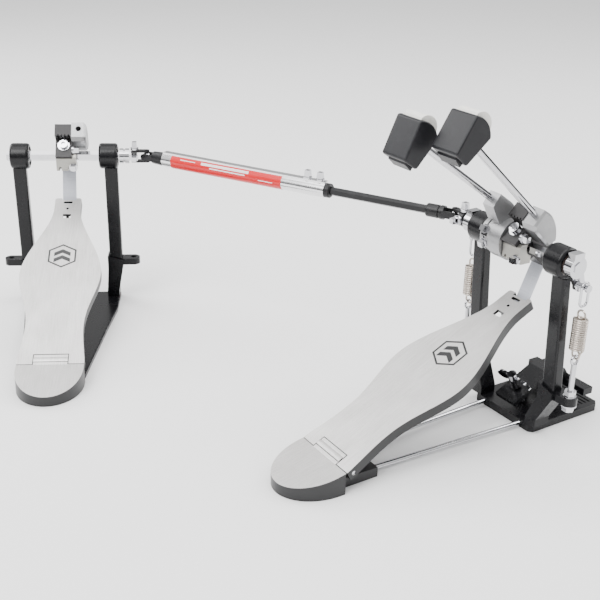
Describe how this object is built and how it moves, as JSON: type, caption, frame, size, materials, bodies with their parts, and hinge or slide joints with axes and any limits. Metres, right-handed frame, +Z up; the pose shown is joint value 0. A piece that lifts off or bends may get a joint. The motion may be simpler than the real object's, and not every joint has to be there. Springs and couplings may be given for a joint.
{
  "type": "double bass drum pedal",
  "caption": "Double bass drum pedal: strap-drive primary pedal with two beaters, auxiliary pedal and telescopic drive shaft with two universal joints.",
  "frame": {"origin": "centre of the primary pedal's base plate underside, on the floor", "axes": "+X to the player's right along the primary axle, +Y away from the player to the drum, +Z up"},
  "size_m": [0.5986, 0.4874, 0.3173],
  "materials": {
    "brushed_plate": "brushed satin top, black painted edges",
    "black_paint": "satin black powder coat",
    "dark_casting": "dark grey satin casting",
    "grey_casting": "grey satin casting",
    "satin_alloy": "satin",
    "felt": "pressed felt",
    "black_plastic": "satin moulded",
    "strap_web": "translucent woven strap",
    "spring_wire": "plated spring wire",
    "black_oxide": "black oxide",
    "polished_alloy": "polished",
    "bearing_steel": "ground",
    "chrome": "polished"
  },
  "bodies": {
    "root": {"primary_base_plate": "black_paint", "primary_upright_right": "black_paint", "primary_upright_left": "black_paint", "primary_bearing_housings": "black_paint", "primary_bearings": "bearing_steel", "primary_heel_plate": "brushed_plate", "primary_hinge_pin": "chrome", "radius_rods": "chrome", "hoop_jaw_pin": "chrome", "spring_eye_bolts": "chrome"},
    "hoop_jaw_body": {"hoop_jaw": "black_paint"},
    "wing_screw_body": {"wing_screw": "chrome"},
    "primary_board": {"primary_footboard": "brushed_plate"},
    "primary_strap_body": {"primary_strap": "strap_web"},
    "primary_shaft": {"primary_axle": "chrome", "primary_strap_cam": "dark_casting", "primary_beater_holder": "grey_casting", "primary_cam_clamp": "satin_alloy", "primary_hub_screws": "chrome", "spring_lever_right": "chrome", "beater_shaft_right": "chrome", "beater_head_right": "black_plastic", "beater_felt_right": "felt"},
    "left_shaft": {"left_stub_axle": "chrome", "left_beater_hub": "grey_casting", "left_hub_collar": "grey_casting", "left_drive_screws": "chrome", "left_axle_yoke": "black_oxide", "spring_lever_left": "chrome", "beater_shaft_left": "chrome", "beater_head_left": "black_plastic", "beater_felt_left": "felt"},
    "right_link": {"spring_link_right": "chrome"},
    "left_link": {"spring_link_left": "chrome"},
    "right_spring": {"return_spring_right": "spring_wire"},
    "left_spring": {"return_spring_left": "spring_wire"},
    "near_spider_body": {"near_spider": "chrome"},
    "drive_rod_body": {"near_shaft_yoke": "black_oxide", "drive_rod": "black_oxide"},
    "far_spider_body": {"far_spider": "chrome"},
    "drive_tube_body": {"drive_tube": "polished_alloy", "drive_tube_cap": "black_oxide", "drive_tube_screws": "chrome", "far_shaft_yoke": "black_oxide"},
    "aux_frame": {"aux_base_plate": "black_paint", "aux_upright_right": "black_paint", "aux_upright_left": "black_paint", "aux_bearing_housings": "black_paint", "aux_bearings": "bearing_steel", "aux_heel_plate": "brushed_plate", "aux_hinge_pin": "chrome"},
    "aux_board": {"aux_footboard": "brushed_plate"},
    "aux_strap_body": {"aux_strap": "strap_web"},
    "aux_shaft": {"aux_axle": "chrome", "aux_axle_collar": "chrome", "aux_strap_cam": "dark_casting", "aux_beater_holder": "grey_casting", "aux_cam_clamp": "satin_alloy", "aux_hub_screws": "chrome", "aux_axle_yoke": "black_oxide"}
  },
  "joints": [
    {"name": "primary_beater_swing", "type": "hinge", "parent": "root", "child": "primary_shaft", "pos_m": [0, -0.046, 0.18], "axis": [-1, 0, 0], "range_deg": [-4, 42], "stiffness_Nm_per_rad": 0.6, "springref_deg": 11.46},
    {"name": "primary_board_tilt", "type": "hinge", "parent": "root", "child": "primary_board", "pos_m": [0, -0.2482, 0.01869], "axis": [-1, 0, 0], "range_deg": [-0.55, 5.61]},
    {"name": "primary_strap_tilt", "type": "hinge", "parent": "primary_board", "child": "primary_strap_body", "pos_m": [0, -0.03848, 0.11908], "axis": [-1, 0, 0], "range_deg": [-24.61, 2.36]},
    {"name": "left_beater_swing", "type": "hinge", "parent": "root", "child": "left_shaft", "pos_m": [0, -0.046, 0.18], "axis": [-1, 0, 0], "range_deg": [-4, 42], "stiffness_Nm_per_rad": 0.6, "springref_deg": 11.46},
    {"name": "right_link_turn", "type": "hinge", "parent": "primary_shaft", "child": "right_link", "pos_m": [0.072, -0.036, 0.1605], "axis": [-1, 0, 0], "range_deg": [-54.49, 5.21]},
    {"name": "right_spring_lean", "type": "hinge", "parent": "root", "child": "right_spring", "pos_m": [0.072, -0.036, 0.09], "axis": [-1, 0, 0], "range_deg": [-12.49, 1.21], "deforming": ["return_spring_right"]},
    {"name": "left_link_turn", "type": "hinge", "parent": "left_shaft", "child": "left_link", "pos_m": [-0.072, -0.036, 0.1605], "axis": [-1, 0, 0], "range_deg": [-54.49, 5.21]},
    {"name": "left_spring_lean", "type": "hinge", "parent": "root", "child": "left_spring", "pos_m": [-0.072, -0.036, 0.09], "axis": [-1, 0, 0], "range_deg": [-12.49, 1.21], "deforming": ["return_spring_left"]},
    {"name": "wing_screw_turn", "type": "hinge", "parent": "root", "child": "wing_screw_body", "pos_m": [0, -0.0286, 0.0256], "axis": [0, 0.4695, -0.8829], "range_deg": [-360, 360]},
    {"name": "hoop_jaw_tilt", "type": "hinge", "parent": "root", "child": "hoop_jaw_body", "pos_m": [0, -0.002, 0.025], "axis": [-1, 0, 0], "range_deg": [-2.41, 2.41]},
    {"name": "linkage_swing", "type": "hinge", "parent": "root", "child": "near_spider_body", "pos_m": [-0.0925, -0.046, 0.18], "axis": [0, 0, 1], "range_deg": [-10, 10]},
    {"name": "rod_spin", "type": "hinge", "parent": "near_spider_body", "child": "drive_rod_body", "pos_m": [-0.0925, -0.046, 0.18], "axis": [-0.8831, -0.4693, 0], "range_deg": [-4.02, 42.02]},
    {"name": "linkage_slide", "type": "slide", "parent": "near_spider_body", "child": "far_spider_body", "axis": [-0.8831, -0.4693, 0], "range_m": [-0.06, 0.06]},
    {"name": "tube_spin", "type": "hinge", "parent": "far_spider_body", "child": "drive_tube_body", "pos_m": [-0.42655, -0.22351, 0.18], "axis": [-0.8831, -0.4693, 0], "range_deg": [-4.02, 42.02]},
    {"name": "aux_pedal_swivel", "type": "hinge", "parent": "far_spider_body", "child": "aux_frame", "pos_m": [-0.42655, -0.22351, 0.18], "axis": [0, 0, 1], "range_deg": [-10, 10]},
    {"name": "aux_axle_turn", "type": "hinge", "parent": "aux_frame", "child": "aux_shaft", "pos_m": [-0.46907, -0.30566, 0.18], "axis": [-0.4597, -0.8881, 0], "range_deg": [-4.02, 42.02]},
    {"name": "aux_board_tilt", "type": "hinge", "parent": "aux_frame", "child": "aux_board", "pos_m": [-0.28951, -0.39862, 0.01869], "axis": [-0.4597, -0.8881, 0], "range_deg": [-0.55, 5.61]},
    {"name": "aux_strap_tilt", "type": "hinge", "parent": "aux_board", "child": "aux_strap_body", "pos_m": [-0.47575, -0.3022, 0.11908], "axis": [-0.4597, -0.8881, 0], "range_deg": [-24.61, 2.36]}
  ],
  "couplings": [
    {"joint": "primary_board_tilt", "follows": "primary_beater_swing", "ratio": 0.133},
    {"joint": "primary_strap_tilt", "follows": "primary_beater_swing", "ratio": -0.5854},
    {"joint": "right_link_turn", "follows": "primary_beater_swing", "ratio": -1.297},
    {"joint": "right_spring_lean", "follows": "primary_beater_swing", "ratio": -0.29702},
    {"joint": "left_link_turn", "follows": "left_beater_swing", "ratio": -1.297},
    {"joint": "left_spring_lean", "follows": "left_beater_swing", "ratio": -0.29702},
    {"joint": "rod_spin", "follows": "left_beater_swing", "ratio": 1},
    {"joint": "tube_spin", "follows": "left_beater_swing", "ratio": 1},
    {"joint": "aux_axle_turn", "follows": "left_beater_swing", "ratio": 1},
    {"joint": "aux_board_tilt", "follows": "left_beater_swing", "ratio": 0.133},
    {"joint": "aux_strap_tilt", "follows": "left_beater_swing", "ratio": -0.5854},
    {"joint": "hoop_jaw_tilt", "follows": "wing_screw_turn", "ratio": 0.006631}
  ]
}
